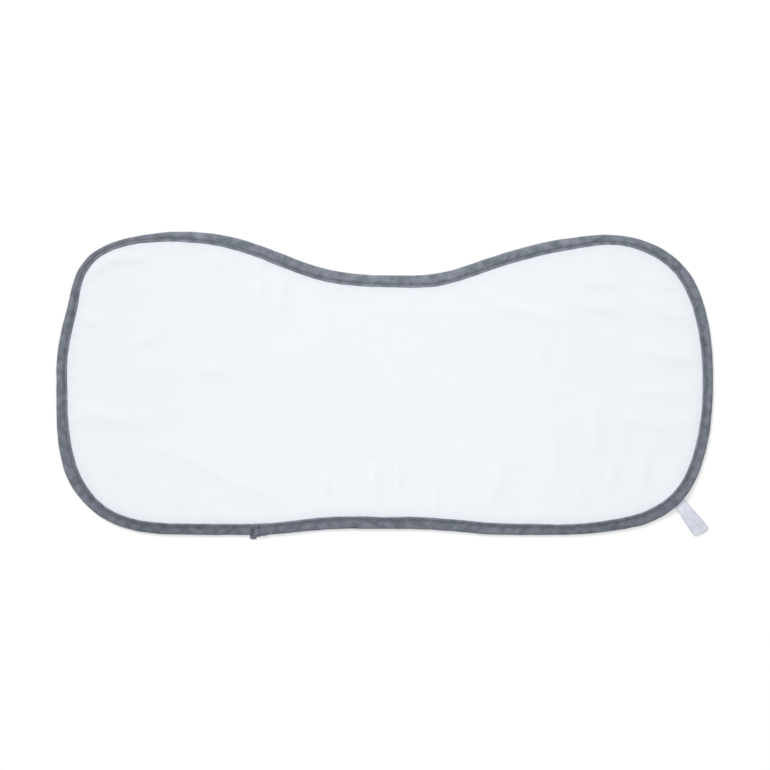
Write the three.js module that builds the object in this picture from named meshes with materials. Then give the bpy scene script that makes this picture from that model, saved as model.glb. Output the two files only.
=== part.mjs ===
// A contoured burp cloth lying face up on a flat surface. Millimetres, +X to the right, +Z up.
// It is a thick white muslin panel, one grey strip folded over the whole of its edge,
// and a blank care label caught under that strip at the lower right.
import * as THREE from 'three';

// The outer edge, clockwise from the top of the left lobe: where it passes, which way it
// runs there in degrees from +X, and how wide the binding shows at that place.
const edgeAnchors = [
  { name: 'left lobe, top', x: -160, y: 122.5, heading: -1, bindingWidth: 8.6 },
  { name: 'left lobe, falling', x: -128, y: 119.1, heading: -11.7, bindingWidth: 9.5 },
  { name: 'down into the neck', x: -87.8, y: 106.6, heading: -21.5, bindingWidth: 9.9 },
  { name: 'neck, left foot', x: -42, y: 91.2, heading: -11, bindingWidth: 10 },
  { name: 'neck, lowest', x: 8, y: 87.1, heading: 0, bindingWidth: 9.4 },
  { name: 'neck, right foot', x: 42, y: 88.8, heading: 9, bindingWidth: 10.1 },
  { name: 'up out of the neck', x: 78, y: 99.2, heading: 19, bindingWidth: 9.8 },
  { name: 'right lobe, rising', x: 151, y: 117.6, heading: 7.2, bindingWidth: 9.3 },
  { name: 'right lobe, top', x: 176, y: 120, heading: 1, bindingWidth: 8.2 },
  { name: 'upper right corner', x: 238.1, y: 98.1, heading: -44, bindingWidth: 9.2 },
  { name: 'right side, upper', x: 259, y: 58.5, heading: -76, bindingWidth: 9.4 },
  { name: 'right side', x: 265, y: 4, heading: -90, bindingWidth: 8.4 },
  { name: 'lower right, side', x: 254.4, y: -70, heading: -110, bindingWidth: 9.3 },
  { name: 'lower right corner', x: 225, y: -106.7, heading: -148, bindingWidth: 10.5 },
  { name: 'lower right, bottom', x: 170, y: -120.6, heading: -173, bindingWidth: 9.1 },
  { name: 'bottom, right', x: 120, y: -122.2, heading: -180, bindingWidth: 9.3 },
  { name: 'bottom, right of middle', x: 72, y: -120.9, heading: -186, bindingWidth: 10.1 },
  { name: 'bottom, middle', x: 18, y: -117.5, heading: -180, bindingWidth: 10.4 },
  { name: 'bottom, left of middle', x: -46, y: -117.8, heading: -177, bindingWidth: 10.4 },
  { name: 'bottom, at the lap', x: -104.5, y: -122.3, heading: -180, bindingWidth: 9.3 },
  { name: 'bottom, left', x: -170, y: -121.9, heading: -181, bindingWidth: 9.4 },
  { name: 'lower left corner', x: -231.2, y: -106.3, heading: -215, bindingWidth: 9.4 },
  { name: 'lower left, side', x: -260.6, y: -64, heading: -256, bindingWidth: 10.4 },
  { name: 'left side, lower', x: -264.9, y: -28, heading: -269, bindingWidth: 9.1 },
  { name: 'left side, upper', x: -265, y: 14, heading: -271, bindingWidth: 8.8 },
  { name: 'left side, drawn in', x: -256.5, y: 61, heading: -284, bindingWidth: 8.4 },
  { name: 'upper left, side', x: -250, y: 86, heading: -291, bindingWidth: 7 },
  { name: 'upper left corner', x: -229.7, y: 109.3, heading: -331, bindingWidth: 5.6 },
  { name: 'upper left, top', x: -201, y: 118.7, heading: -349, bindingWidth: 5.6 },
];

// Heights over the surface that the cloth lies on.
const bindingTop = 2.6;
const bindingFabric = 0.7;
const pieceGap = 0.3;
const panelTop = 2.4;
const lipBottom = bindingFabric + pieceGap;
const lipTop = bindingTop - bindingFabric - pieceGap;

// How far in from the outer edge things start.
const slotInset = 1.1;
const lipInset = slotInset + pieceGap;
const lipPastBinding = 0.4;
const panelBottomFull = 3.5;
const panelTopFull = 9;
const shoulderShare = 0.75; // how much of the panel's rise is done over its full bottom's rim

// The binding's rounded edges and the shallow groove that its stitching pulls down.
const noseRise = 0.4;
const noseInset = 0.35;
const edgeRound = 0.3;
const stitchInset = 2.6;
const stitchWidth = 0.9;
const stitchDepth = 0.2;

// Where the two ends of the strip lap over each other, and the corner that sticks out there.
// Distances along the edge count from the middle of the lap.
const lapPlace = 'bottom, at the lap';
const lapHalf = 7;
const lapRise = 0.6;
const lapStep = 1;
const stubStart = -4.8;
const stubPeak = -1;
const stubEnd = 3.7;
const stubSlope = 0.5;
const stubLeastReach = 1.7;
const stubReach = 3.4;

// The care label: a ribbon folded in two, sewn in under the binding.
const labelExit = { x: 238.2, y: -96.4 };
const labelHeading = THREE.MathUtils.degToRad(-54);
const labelReach = 28;
const labelRoot = 7.5;
const labelRootWidth = 9.6;
const labelEndWidth = 13.4;
const labelFabric = 0.3;
const labelBulge = 1.2;
const labelCurl = 1.1;
const labelCurlShare = 0.35; // how much of the curl the lower edge takes part in
const labelEndSlant = 3.7; // how much further its upper corner reaches than its lower one
const labelEndRound = 1.3; // how much further the middle of its end reaches than its corners

// The cloth lies over the label's root, and comes down again beside and past it.
const labelLift = 2 * labelFabric + 2 * pieceGap;
const liftClearance = 4;
const liftEaseAcross = 13;
const liftEaseInward = 22;

// The main folds of the panel, each a low ridge from one point past a bend to another.
// Half is half the width of the ridge.
const folds = [
  { name: 'shoulder', from: [78, 75], bend: [126, 57], to: [146, 43], half: 10, height: 1 },
  { name: 'lobe, upper', from: [155, 88], bend: [178, 81], to: [197, 71], half: 9, height: 0.8 },
  { name: 'lobe, across', from: [140, 70], bend: [169, 62], to: [194, 56], half: 8, height: 0.7 },
  { name: 'corner, across', from: [205, 69], bend: [222, 60], to: [242, 50], half: 10, height: 1 },
  { name: 'side, upper', from: [203, 30], bend: [224, 20], to: [248, 22], half: 10, height: 1.1 },
  { name: 'side, middle', from: [200, -6], bend: [222, -7], to: [245, -7], half: 9, height: 0.7 },
  { name: 'side, lower', from: [190, -29], bend: [216, -32], to: [240, -31], half: 9, height: 0.8 },
  { name: 'skirt, first', from: [131, -24], bend: [136, -50], to: [136, -82], half: 9, height: 0.9 },
  { name: 'skirt, second', from: [169, -6], bend: [170, -31], to: [171, -56], half: 8, height: 0.6 },
  { name: 'skirt, fourth', from: [213, -49], bend: [207, -68], to: [207, -88], half: 9, height: 0.8 },
  { name: 'middle skirt', from: [89, -60], bend: [88, -82], to: [82, -96], half: 10, height: 0.7 },
  { name: 'middle, low', from: [-8, -68], bend: [-7, -84], to: [-3, -98], half: 9, height: 0.6 },
  { name: 'left side', from: [-249, -24], bend: [-218, -25], to: [-191, -30], half: 9, height: 1 },
  { name: 'left, long', from: [-188, -54], bend: [-129, -65], to: [-85, -97], half: 10, height: 1.1 },
  { name: 'left, short', from: [-184, -82], bend: [-173, -90], to: [-165, -99], half: 8, height: 0.7 },
  { name: 'left of the neck', from: [-87, 86], bend: [-84, 76], to: [-87, 57], half: 8, height: 0.7 },
  { name: 'left lobe, low', from: [-148, 12], bend: [-138, 12], to: [-129, 10], half: 9, height: 0.5 },
  { name: 'left edge, upper', from: [-244, 52], bend: [-235, 52], to: [-227, 49], half: 8, height: 0.5 },
];
const foldSteps = 8;
const foldEnd = 0.12; // how far along its half wave a fold starts, and ends short of it
const foldSlack = 0.3; // a fold stays down on the surface until it is this high

// How finely the shapes are cut up.
const stationCount = 150;
const ringShares = [0.09, 0.18, 0.27, 0.36, 0.45, 0.54, 0.63, 0.72, 0.81];
const undersideShares = [0.15, 0.35, 0.58, 0.81];
const labelProfileSteps = 9;
const labelCrossSteps = 5;

// The line down the middle of the panel that its rings close in on: its share of the
// cloth's length, and how far it dips below the neck.
const halfLength = 265;
const spineReach = 0.57;
const spineDip = 14;

const { clamp, degToRad, lerp, smoothstep } = THREE.MathUtils;

const muslin = new THREE.MeshStandardMaterial({
  name: 'white muslin', color: 0xf2f7fa, roughness: 0.92, metalness: 0,
});
const greyStrip = new THREE.MeshStandardMaterial({
  name: 'grey heather strip', color: 0x717682, roughness: 0.88, metalness: 0,
});
const satin = new THREE.MeshStandardMaterial({
  name: 'white satin ribbon', color: 0xdcdfec, roughness: 0.45, metalness: 0,
});

const edge = edgePath();
const edgeLength = edge.getLength();

// The outer edge as one closed path, each stretch near to an arc between two anchors.
function edgePath() {
  const path = new THREE.CurvePath();
  edgeAnchors.forEach((from, index) => {
    const to = edgeAnchors[(index + 1) % edgeAnchors.length];
    path.add(stretchBetween(from, to));
  });
  return path;
}

function stretchBetween(from, to) {
  const start = new THREE.Vector2(from.x, from.y);
  const end = new THREE.Vector2(to.x, to.y);
  const turnDegrees = THREE.MathUtils.euclideanModulo(to.heading - from.heading + 180, 360) - 180;
  const turn = Math.max(Math.abs(degToRad(turnDegrees)), 0.001);
  const handle = start.distanceTo(end) * (2 / 3) * Math.tan(turn / 4) / Math.sin(turn / 2);
  const leave = start.clone().add(towards(degToRad(from.heading), handle));
  const arrive = end.clone().sub(towards(degToRad(to.heading), handle));
  return new THREE.CubicBezierCurve(start, leave, arrive, end);
}

function towards(heading, distance) {
  return new THREE.Vector2(Math.cos(heading) * distance, Math.sin(heading) * distance);
}

// One place on the edge: the point, the way in from it, and the binding's width there.
function stationAt(along) {
  const share = along / edgeLength;
  const tangent = edge.getTangent(share);
  return {
    along,
    point: edge.getPoint(share),
    inward: new THREE.Vector2(tangent.y, -tangent.x),
    width: bindingWidthAt(along),
  };
}

function bindingWidthAt(along) {
  const ends = edge.getCurveLengths();
  const leg = Math.max(ends.findIndex((end) => along <= end), 0);
  const start = leg > 0 ? ends[leg - 1] : 0;
  const next = edgeAnchors[(leg + 1) % edgeAnchors.length];
  return lerp(edgeAnchors[leg].bindingWidth, next.bindingWidth, (along - start) / (ends[leg] - start));
}

function pointInside(station, inset) {
  return station.point.clone().addScaledVector(station.inward, inset);
}

// How far the cloth is lifted at a point by the label's ribbon under it.
function liftAt(point) {
  const fromExit = point.clone().sub(new THREE.Vector2(labelExit.x, labelExit.y));
  const out = towards(labelHeading, 1);
  const along = fromExit.dot(out);
  const across = Math.abs(fromExit.cross(out));
  const clearAcross = labelRootWidth / 2 + liftClearance;
  const clearInward = labelRoot + liftClearance;
  const easeAcross = 1 - smoothstep(across, clearAcross, clearAcross + liftEaseAcross);
  const easeInward = 1 - smoothstep(-along, clearInward, clearInward + liftEaseInward);
  return labelLift * easeAcross * easeInward;
}

// The height that the folds add at a point of the panel, with each fold dying away at its ends.
const foldLines = folds.map((fold) => ({
  ...fold,
  points: new THREE.QuadraticBezierCurve(
    new THREE.Vector2(...fold.from),
    new THREE.Vector2(...fold.bend),
    new THREE.Vector2(...fold.to),
  ).getPoints(foldSteps),
}));

function foldHeightAt(point) {
  let height = 0;
  for (const fold of foldLines) {
    const { distance, share } = nearestOn(fold.points, point);
    if (distance < fold.half) {
      const crown = Math.cos((Math.PI / 2) * (distance / fold.half)) ** 2;
      const taper = Math.sin(Math.PI * lerp(foldEnd, 1 - foldEnd, share));
      height += fold.height * crown * taper;
    }
  }
  return height;
}

function nearestOn(line, point) {
  let best = { distance: Infinity, share: 0 };
  for (let leg = 0; leg < line.length - 1; leg += 1) {
    const span = line[leg + 1].clone().sub(line[leg]);
    const reach = point.clone().sub(line[leg]).dot(span) / span.lengthSq();
    const onLeg = clamp(reach, 0, 1);
    const distance = line[leg].clone().addScaledVector(span, onLeg).distanceTo(point);
    if (distance < best.distance) best = { distance, share: (leg + onLeg) / (line.length - 1) };
  }
  return best;
}

// A mesh put together from rings of points and the triangles between them.
class RingMesh {
  constructor() {
    this.positions = [];
    this.triangles = [];
  }

  addPoint(x, y, z) {
    this.positions.push(x, y, z);
    return this.positions.length / 3 - 1;
  }

  // A band between two closed rings of as many points.
  join(ring, next) {
    ring.forEach((corner, k) => {
      const after = (k + 1) % ring.length;
      this.triangles.push(corner, ring[after], next[after], corner, next[after], next[k]);
    });
  }

  // A band from a ring to one with half as many points.
  joinToHalf(ring, half) {
    half.forEach((corner, k) => {
      const after = half[(k + 1) % half.length];
      const [first, second] = [ring[2 * k], ring[2 * k + 1]];
      const third = ring[(2 * k + 2) % ring.length];
      this.triangles.push(first, second, corner, second, after, corner, second, third, after);
    });
  }

  // Fills a ring with a flat-ish patch that faces up or down.
  fill(ring, facesUp) {
    const turned = [...ring].reverse();
    const outline = turned.map((corner) => new THREE.Vector2(
      this.positions[3 * corner],
      this.positions[3 * corner + 1],
    ));
    for (const [a, b, c] of THREE.ShapeUtils.triangulateShape(outline, [])) {
      const corners = facesUp ? [a, b, c] : [a, c, b];
      this.triangles.push(...corners.map((corner) => turned[corner]));
    }
  }

  geometry() {
    const geometry = new THREE.BufferGeometry();
    geometry.setAttribute('position', new THREE.Float32BufferAttribute(this.positions, 3));
    geometry.setIndex(this.triangles);
    geometry.computeVertexNormals();
    return geometry;
  }
}

// The panel: a thin lip all round that lies inside the binding, and a thick body within it.
function panelGeometry() {
  const mesh = new RingMesh();
  const stations = evenStations();
  const halfStations = stations.filter((_, k) => k % 2 === 0);

  const nearRing = (from, inset, heightAt) => from.map((station) => {
    const point = pointInside(station, inset(station));
    return mesh.addPoint(point.x, point.y, heightAt(point));
  });
  const innerRing = (from, share, heightAt) => from.map((station) => {
    const rim = pointInside(station, station.width + panelTopFull);
    const middle = spinePoint(station.point.x);
    const point = rim.lerp(middle, share);
    return mesh.addPoint(point.x, point.y, heightAt(point));
  });

  const lipEdge = () => lipInset;
  const lipEnd = (station) => station.width + lipPastBinding;
  const bottomRim = (station) => station.width + panelBottomFull;
  const topRim = (station) => station.width + panelTopFull;

  const topHeight = (point) => panelTop + foldHeightAt(point) + liftAt(point);
  const shoulderHeight = (point) => lerp(lipTop, panelTop, shoulderShare) + liftAt(point);
  const undersideHeight = (point) => Math.max(foldHeightAt(point) - foldSlack, 0) + liftAt(point);

  const upperRings = [
    ...[...ringShares].reverse().map((share) => innerRing(stations, share, topHeight)),
    nearRing(stations, topRim, topHeight),
    nearRing(stations, bottomRim, shoulderHeight),
    nearRing(stations, lipEnd, (point) => lipTop + liftAt(point)),
    nearRing(stations, lipEdge, (point) => lipTop + liftAt(point)),
    nearRing(stations, lipEdge, (point) => lipBottom + liftAt(point)),
    nearRing(stations, lipEnd, (point) => lipBottom + liftAt(point)),
    nearRing(stations, bottomRim, liftAt),
  ];
  const lowerRings = [
    nearRing(halfStations, topRim, undersideHeight),
    ...undersideShares.map((share) => innerRing(halfStations, share, undersideHeight)),
  ];

  mesh.fill(upperRings[0], true);
  upperRings.slice(1).forEach((ring, k) => mesh.join(upperRings[k], ring));
  mesh.joinToHalf(upperRings.at(-1), lowerRings[0]);
  lowerRings.slice(1).forEach((ring, k) => mesh.join(lowerRings[k], ring));
  mesh.fill(lowerRings.at(-1), false);
  return mesh.geometry();
}

function spinePoint(x) {
  const dip = spineDip * Math.cos((x / halfLength) * (Math.PI / 2)) ** 2;
  return new THREE.Vector2(x * spineReach, -dip);
}

function evenStations() {
  const pitch = edgeLength / stationCount;
  return Array.from({ length: stationCount }, (_, k) => stationAt(k * pitch));
}

// The binding: one strip folded over the edge, with its ends lapped at the bottom left.
function bindingGeometry() {
  const mesh = new RingMesh();
  const lapAnchor = edgeAnchors.findIndex((anchor) => anchor.name === lapPlace);
  const lapAlong = edge.getCurveLengths()[lapAnchor - 1];
  const stations = bindingStations(lapAlong);
  const rings = stations.map((station) => {
    const offset = station.along - lapAlong;
    const rise = lapRise * (1 - smoothstep(Math.abs(offset), lapHalf - lapStep, lapHalf));
    const out = stubOutAt(offset);
    return bindingSection(station.width, rise, out).map(([inset, height]) => {
      const point = pointInside(station, inset);
      return mesh.addPoint(point.x, point.y, height + liftAt(point));
    });
  });
  rings.forEach((ring, k) => mesh.join(rings[(k + 1) % rings.length], ring));
  return mesh.geometry();
}

// The section as [distance in from the edge, height], round the strip from its outer fold.
function bindingSection(width, rise, out) {
  const top = bindingTop + rise;
  const slotTop = bindingTop - bindingFabric;
  return [
    [-out, top / 2],
    [noseInset - out, noseRise],
    [slotInset - out / 2, 0],
    [width - edgeRound, 0],
    [width, bindingFabric],
    [slotInset, bindingFabric],
    [slotInset, slotTop],
    [width, slotTop],
    [width, top - edgeRound],
    [width - edgeRound, top],
    [width - stitchInset + stitchWidth / 2, top],
    [width - stitchInset, top - stitchDepth],
    [width - stitchInset - stitchWidth / 2, top],
    [slotInset - out / 2, top],
    [noseInset - out, top - noseRise],
  ];
}

// How far the strip's turned-under corner sticks out past the edge.
function stubOutAt(offset) {
  const opening = smoothstep(offset, stubStart - stubSlope, stubStart);
  const closing = 1 - smoothstep(offset, stubEnd, stubEnd + stubSlope);
  const reach = lerp(stubLeastReach, stubReach, smoothstep(offset, stubStart, stubPeak));
  return reach * opening * closing;
}

// The even stations, with those by the lap replaced by ones at its steps.
function bindingStations(lapAlong) {
  const clear = lapHalf + lapStep;
  const steps = [
    -lapHalf, -lapHalf + lapStep, stubStart - stubSlope, stubStart, stubPeak,
    stubEnd, stubEnd + stubSlope, lapHalf - lapStep, lapHalf,
  ];
  const away = evenStations().filter((station) => Math.abs(station.along - lapAlong) > clear);
  const byTheLap = steps.map((step) => stationAt(lapAlong + step));
  return [...away, ...byTheLap].sort((one, other) => one.along - other.along);
}

// The label: the ribbon's long section, swept across its width, then turned into place.
function labelGeometry() {
  const across = { depth: 1, steps: labelCrossSteps, curveSegments: 4, bevelEnabled: false };
  const geometry = new THREE.ExtrudeGeometry(labelProfile(), across);
  const position = geometry.attributes.position;
  const out = towards(labelHeading, 1);
  const side = new THREE.Vector2(-out.y, out.x);
  for (let k = 0; k < position.count; k += 1) {
    const along = position.getX(k);
    const shareOut = clamp(along / labelReach, 0, 1);
    const sideways = 0.5 - position.getZ(k);
    const width = lerp(labelRootWidth, labelEndWidth, smoothstep(shareOut, 0, 1));
    const curl = labelCurl * shareOut ** 2 * (labelCurlShare + sideways);
    const slant = labelEndSlant * sideways * shareOut ** 2;
    const round = labelEndRound * (0.5 - (2 * sideways) ** 2) * shareOut ** 3;
    const point = new THREE.Vector2(labelExit.x, labelExit.y)
      .addScaledVector(out, along + slant + round)
      .addScaledVector(side, sideways * width);
    position.setXYZ(k, point.x, point.y, position.getY(k) + Math.max(curl, 0));
  }
  geometry.computeVertexNormals();
  return geometry;
}

// Two layers with a gap between them, joined by a round fold at the free end.
function labelProfile() {
  const layerGap = pieceGap;
  const thick = 2 * labelFabric + layerGap;
  const foldCentre = labelReach - thick / 2;
  const bulgeAt = (along) => labelBulge * Math.sin(Math.PI * clamp(along / foldCentre, 0, 1)) ** 2;
  const pitch = foldCentre / labelProfileSteps;
  const steps = Array.from({ length: labelProfileSteps + 1 }, (_, k) => k * pitch);
  const profile = new THREE.Shape();
  profile.moveTo(-labelRoot, 0);
  profile.lineTo(foldCentre, 0);
  profile.absarc(foldCentre, thick / 2, thick / 2, -Math.PI / 2, Math.PI / 2, false);
  [...steps].reverse().forEach((along) => profile.lineTo(along, thick + bulgeAt(along)));
  profile.lineTo(-labelRoot, thick);
  profile.lineTo(-labelRoot, thick - labelFabric);
  steps.forEach((along) => profile.lineTo(along, thick - labelFabric + bulgeAt(along)));
  profile.absarc(foldCentre, thick / 2, layerGap / 2, Math.PI / 2, -Math.PI / 2, true);
  profile.lineTo(-labelRoot, labelFabric);
  profile.closePath();
  return profile;
}

function namedMesh(name, geometry, material) {
  const mesh = new THREE.Mesh(geometry, material);
  mesh.name = name;
  return mesh;
}

const burpCloth = new THREE.Group();
burpCloth.name = 'burp_cloth';
burpCloth.add(
  namedMesh('muslin_panel', panelGeometry(), muslin),
  namedMesh('edge_binding', bindingGeometry(), greyStrip),
  namedMesh('care_label', labelGeometry(), satin),
);

// The reference point is the middle of the box round the cloth, at its lowest height.
const box = new THREE.Box3().setFromObject(burpCloth, true);
const middle = box.getCenter(new THREE.Vector3());
burpCloth.position.set(-middle.x, -middle.y, -box.min.z);

export default burpCloth;
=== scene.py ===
import math

import bmesh
import bpy
import numpy as np
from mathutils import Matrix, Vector, geometry, kdtree, noise
from mathutils.bvhtree import BVHTree


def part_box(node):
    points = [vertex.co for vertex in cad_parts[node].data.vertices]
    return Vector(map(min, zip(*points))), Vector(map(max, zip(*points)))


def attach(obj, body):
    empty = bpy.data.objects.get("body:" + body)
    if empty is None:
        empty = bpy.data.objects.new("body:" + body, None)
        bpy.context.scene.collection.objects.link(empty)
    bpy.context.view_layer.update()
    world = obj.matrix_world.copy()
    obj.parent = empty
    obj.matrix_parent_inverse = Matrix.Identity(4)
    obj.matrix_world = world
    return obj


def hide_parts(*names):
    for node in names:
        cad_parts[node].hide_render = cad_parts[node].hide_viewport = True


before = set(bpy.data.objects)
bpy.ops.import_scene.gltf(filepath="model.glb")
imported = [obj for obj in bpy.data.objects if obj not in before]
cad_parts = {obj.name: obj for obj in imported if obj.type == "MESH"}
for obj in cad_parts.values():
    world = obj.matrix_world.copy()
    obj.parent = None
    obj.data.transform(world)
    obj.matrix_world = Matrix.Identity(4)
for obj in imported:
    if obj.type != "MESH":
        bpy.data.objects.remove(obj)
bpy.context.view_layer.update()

# A contoured burp cloth lying flat: white muslin, a grey heather binding and a bare ribbon label.
# Metres, +Z up. The cloth's outline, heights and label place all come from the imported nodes.
mm = 0.001


# Camera, light and table

cameraSetup = {
    "acrossPicture": 0.6212,  # metres of the table that the picture shows
    "lens": 85,
    "sensor": 36,
    "aim": (0.00025, 0.00035, 0.0024),
}
lightSetup = {
    "skyColour": (0.985, 0.99, 1.0),
    "skyStrength": 0.457,
    "lamps": [
        {"name": "sideLight", "place": (-3.9, 5.5, 4.8), "size": 3.3,
         "power": 317, "colour": (1.0, 0.998, 0.99)},
        {"name": "topLight", "place": (0.05, 0.05, 1.5), "size": 1.0,
         "power": 10.7, "colour": (1.0, 1.0, 1.0)},
    ],
}
tableSetup = {"size": 9.0, "drop": 0.05 * mm}


def makeCamera(setup):
    data = bpy.data.cameras.new("overheadCamera")
    data.lens = setup["lens"]
    data.sensor_width = setup["sensor"]
    camera = bpy.data.objects.new("overheadCamera", data)
    bpy.context.scene.collection.objects.link(camera)
    height = setup["acrossPicture"] * setup["lens"] / setup["sensor"]
    camera.location = Vector(setup["aim"]) + Vector((0, 0, height))
    bpy.context.scene.camera = camera


def makeLights(setup):
    world = bpy.data.worlds.new("paleStudio")
    bpy.context.scene.world = world
    world.use_nodes = True
    sky = world.node_tree.nodes["Background"]
    sky.inputs["Color"].default_value = (*setup["skyColour"], 1)
    sky.inputs["Strength"].default_value = setup["skyStrength"]
    for lamp in setup["lamps"]:
        data = bpy.data.lights.new(lamp["name"], "AREA")
        data.energy = lamp["power"]
        data.size = lamp["size"]
        data.color = lamp["colour"]
        light = bpy.data.objects.new(lamp["name"], data)
        bpy.context.scene.collection.objects.link(light)
        light.location = lamp["place"]
        light.rotation_euler = (-Vector(lamp["place"])).to_track_quat("-Z", "Y").to_euler()


def makeTable(setup):
    bpy.ops.mesh.primitive_plane_add(size=setup["size"], location=(0, 0, -setup["drop"]))
    table = bpy.context.active_object
    table.name = "paleTable"
    bpy.ops.object.transform_apply(location=True, rotation=True, scale=True)
    return table


bpy.context.scene.view_settings.view_transform = "Standard"
bpy.ops.object.select_all(action="DESELECT")
makeCamera(cameraSetup)
makeLights(lightSetup)
table = makeTable(tableSetup)
print("camera, lights and table are set")


# The cloth's edge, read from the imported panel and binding

edgeSetup = {
    "stations": 1440,      # places round the edge, about a millimetre apart
    "curveSteps": 24,      # steps between two of the node's own corners
    "mergeWithin": 0.02 * mm,
    "wallSlope": 0.1,      # a face this near to upright is a wall
    "cornerDepth": 0.9 * mm,
    "eveningTimes": 8,
    "drawnIn": 0.45 * mm,  # how much narrower the strip shows along the bottom
    "drawnInSpan": (60 * mm, 100 * mm),  # how far below the middle that starts, and is full
}


def mergedCopy(nodeName):
    made = bmesh.new()
    made.from_mesh(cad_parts[nodeName].data)
    bmesh.ops.remove_doubles(made, verts=made.verts, dist=edgeSetup["mergeWithin"])
    made.normal_update()
    made.verts.index_update()
    return made


def wallTopLoops(made):
    # the loops round the cloth where an upright wall meets a face that looks up
    def kind(face):
        if abs(face.normal.z) < edgeSetup["wallSlope"]:
            return "wall"
        return "up" if face.normal.z > 0 else "down"

    links = {}
    for edge in made.edges:
        if {kind(face) for face in edge.link_faces} == {"wall", "up"}:
            one, other = edge.verts
            links.setdefault(one.index, []).append(other.index)
            links.setdefault(other.index, []).append(one.index)
    made.verts.ensure_lookup_table()
    loops = []
    waiting = dict.fromkeys(sorted(links))
    while waiting:
        at = next(iter(waiting))
        loop = []
        while at is not None:
            del waiting[at]
            loop.append(tuple(made.verts[at].co))
            at = next((n for n in sorted(links[at]) if n in waiting), None)
        loops.append(np.array(loop))
    whole = max(np.ptp(loop[:, 0]) for loop in loops)
    return [loop for loop in loops if np.ptp(loop[:, 0]) > whole / 2]


def clockwise(loop):
    x, y = loop[:, 0], loop[:, 1]
    area = np.sum(x * np.roll(y, -1) - np.roll(x, -1) * y)
    return loop[::-1] if area > 0 else loop


def roundCurve(a, b, c, d, t):
    # a round curve from b to c, with its neighbours a and d, at shares t of the way
    return b + 0.5 * t * (c - a + t * (2 * a - 5 * b + 4 * c - d + t * (3 * (b - c) + d - a)))


def smoothLoop(loop, count):
    # a round curve through the corners, cut into even steps from its lowest x
    loop = np.roll(loop, -int(loop[:, 0].argmin()), axis=0)
    t = (np.arange(edgeSetup["curveSteps"]) / edgeSetup["curveSteps"])[None, :, None]
    a, b, c, d = (np.roll(loop, shift, axis=0)[:, None, :] for shift in (1, 0, -1, -2))
    curve = roundCurve(a, b, c, d, t).reshape(-1, 3)
    closed = np.vstack([curve, curve[:1]])
    along = np.concatenate([[0], np.cumsum(np.hypot(*np.diff(closed[:, :2], axis=0).T))])
    places = np.linspace(0, along[-1], count, endpoint=False)
    return np.stack([np.interp(places, along, closed[:, axis]) for axis in range(3)], axis=1)


def inwardOf(points):
    run = np.roll(points, -1, axis=0) - np.roll(points, 1, axis=0)
    run /= np.hypot(run[:, 0], run[:, 1])[:, None]
    return np.stack([run[:, 1], -run[:, 0]], axis=1)


def ease(value, start, end):
    share = np.clip((value - start) / (end - start), 0, 1)
    return share * share * (3 - 2 * share)


def mound(value, middle, half):
    # 1 in the middle, with little left at twice the half width
    return np.exp(-((value - middle) / half) ** 2)


def gapsTo(points, place):
    return np.hypot(points[:, 0] - place[0], points[:, 1] - place[1])


def treeOf(points):
    # finds the nearest of the points, seen from above
    tree = kdtree.KDTree(len(points))
    for number, point in enumerate(points):
        tree.insert((point[0], point[1], 0), number)
    tree.balance()
    return tree


def evened(values, times):
    for _ in range(times):
        values = (np.roll(values, 1) + values + np.roll(values, -1)) / 3
    return values


# Where the strip is broader or narrower than round about: place, reach and how much, in millimetres.
widthNudges = {
    "top left corner": ((-222, 104), 24, 0.5),
    "left lobe, top": ((-188, 115), 18, 0.5),
    "bottom left corner": ((-245, -80), 20, 0.95),
    "left side, low": ((-258, -42), 18, 0.6),
    "bottom, right of the middle": ((144, -117), 13, -0.5),
    "bottom, middle": ((-1, -113), 11, -0.6),
    "bottom, by the middle": ((48, -114), 10, -0.4),
    "right side": ((259, -21), 11, -0.6),
    "top right corner": ((243, 83), 16, 0.6),
    "neck, right": ((30, 84), 16, 0.4),
    "neck, left": ((-80, 96), 15, 0.4),
    "right lobe, slope": ((128, 110), 22, 0.4),
    "right lobe, top": ((195, 113), 13, -0.6),
}


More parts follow.
